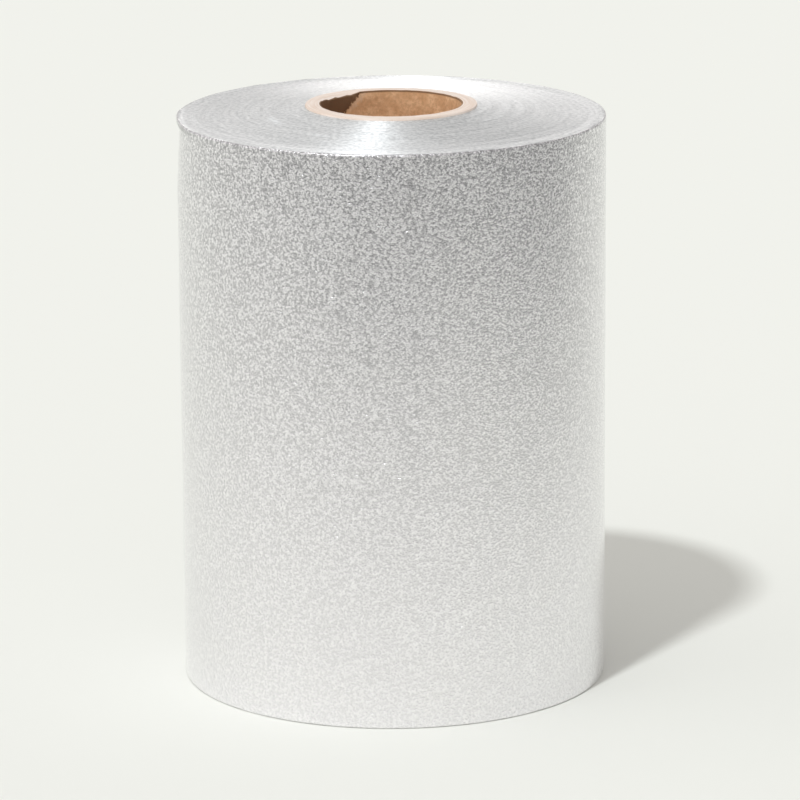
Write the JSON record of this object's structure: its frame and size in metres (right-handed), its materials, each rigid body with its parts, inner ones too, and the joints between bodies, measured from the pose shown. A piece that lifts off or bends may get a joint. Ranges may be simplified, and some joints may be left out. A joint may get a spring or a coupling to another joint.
{
  "type": "aluminium foil roll",
  "caption": "Short, fat roll of embossed aluminium foil wound on a spiral paperboard tube; stands on its end, and its bore runs on a dispenser's spindle.",
  "frame": {"origin": "on the roll's axis, in the plane of the ring of laps that the roll stands on", "axes": "+Z along the roll's axis, away from the surface it stands on; the foil's loose end lies on the +Y side"},
  "size_m": [0.0949, 0.0949, 0.1294],
  "materials": {
    "foil": "embossed, satin",
    "paperboard": "uncoated kraft"
  },
  "bodies": {
    "root": {"foil_winding": "foil", "core_tube": "paperboard"}
  },
  "joints": []
}
